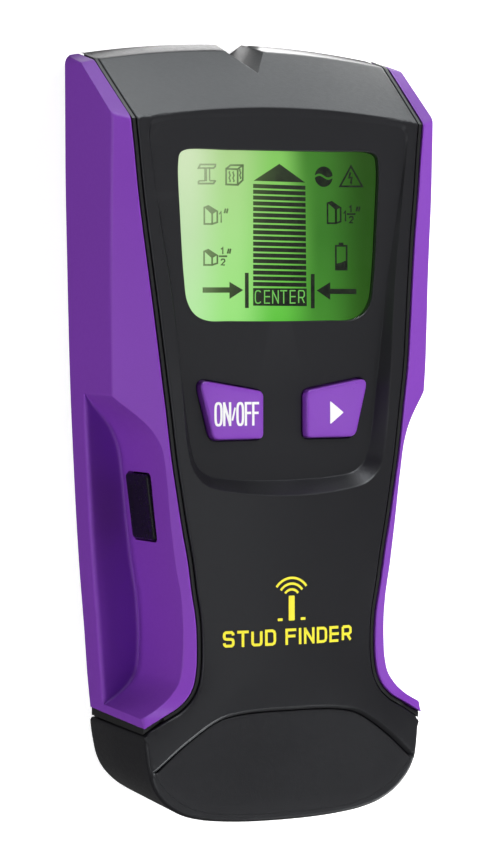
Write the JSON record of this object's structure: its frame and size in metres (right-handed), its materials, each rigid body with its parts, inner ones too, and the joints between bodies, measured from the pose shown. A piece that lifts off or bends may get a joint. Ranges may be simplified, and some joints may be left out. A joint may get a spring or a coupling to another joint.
{
  "type": "stud finder",
  "caption": "Hand-held stud finder with a waisted grip, coloured side panels with finger recesses, back-lit display, press keys, side scan key and a marking notch in the head.",
  "frame": {"origin": "middle of the bottom of the bounding box with the tool lying on its flat back", "axes": "+Z out of the display face, +Y along the length towards the marking notch at the head, +X to the right of the display"},
  "size_m": [0.0818, 0.176, 0.0337],
  "materials": {
    "case_black": "fine-textured moulded ABS, satin",
    "back_black": "textured moulded ABS",
    "panel_purple": "satin soft-touch moulding",
    "key_purple": "smooth semi-gloss key cap",
    "side_key_black": "smooth semi-gloss key cap",
    "window_clear": "clear acrylic window, polished",
    "lcd_green": "back-lit liquid crystal glass",
    "light_guide": "milky acrylic light guide",
    "carrier_white": "white moulded carrier",
    "contact_rubber": "layered elastomer contact strip",
    "switch_body": "moulded switch base",
    "switch_plunger": "moulded plunger",
    "board_green": "solder-masked glass-epoxy board",
    "copper": "bare copper",
    "ferrite": "sintered ferrite",
    "chip_black": "moulded package",
    "battery_jacket": "printed steel jacket",
    "snap_rubber": "moulded vinyl snap",
    "lead_red": "stranded lead insulation",
    "lead_black": "stranded lead insulation",
    "foam": "closed-cell foam pad",
    "screw_steel": "zinc-plated self-tapping screw"
  },
  "bodies": {
    "case": {"front_cover": "case_black", "end_cover": "case_black", "mid_frame": "case_black", "left_side_panel": "panel_purple", "right_side_panel": "panel_purple", "rear_cover": "back_black", "display_window": "window_clear", "lcd_panel": "lcd_green", "backlight_panel": "light_guide", "lcd_carrier": "carrier_white", "lcd_contact_strip": "contact_rubber", "power_switch": "switch_body", "mode_switch": "switch_body", "scan_switch": "switch_body", "main_board": "board_green", "scan_switch_board": "board_green", "sensor_board": "board_green", "sensor_plate_left": "copper", "sensor_plate_middle": "copper", "sensor_plate_right": "copper", "pickup_coil": "copper", "coil_core": "ferrite", "board_connector": "switch_body", "controller_chip": "chip_black", "sensor_chip": "chip_black", "buzzer": "chip_black", "battery_9v": "battery_jacket", "battery_snap": "snap_rubber", "battery_lead_positive": "lead_red", "battery_lead_negative": "lead_black", "battery_pad": "foam", "housing_screw_1": "screw_steel", "housing_screw_2": "screw_steel", "housing_screw_3": "screw_steel", "housing_screw_4": "screw_steel", "board_screw_1": "screw_steel", "board_screw_2": "screw_steel"},
    "power_key": {"power_button": "key_purple", "power_switch_plunger": "switch_plunger"},
    "mode_key": {"mode_button": "key_purple", "mode_switch_plunger": "switch_plunger"},
    "scan_key": {"scan_button": "side_key_black", "scan_switch_plunger": "switch_plunger"},
    "door": {"battery_door": "back_black"}
  },
  "joints": [
    {"name": "power_press", "type": "slide", "parent": "case", "child": "power_key", "axis": [0, 0, -1], "range_m": [0, 0.0008], "stiffness_N_per_m": 1500},
    {"name": "mode_press", "type": "slide", "parent": "case", "child": "mode_key", "axis": [0, 0, -1], "range_m": [0, 0.0008], "stiffness_N_per_m": 1500},
    {"name": "scan_press", "type": "slide", "parent": "case", "child": "scan_key", "axis": [1, 0, 0], "range_m": [0, 0.0008], "stiffness_N_per_m": 1500},
    {"name": "door_slide", "type": "slide", "parent": "case", "child": "door", "axis": [0, -1, 0], "range_m": [0, 0.058]}
  ]
}
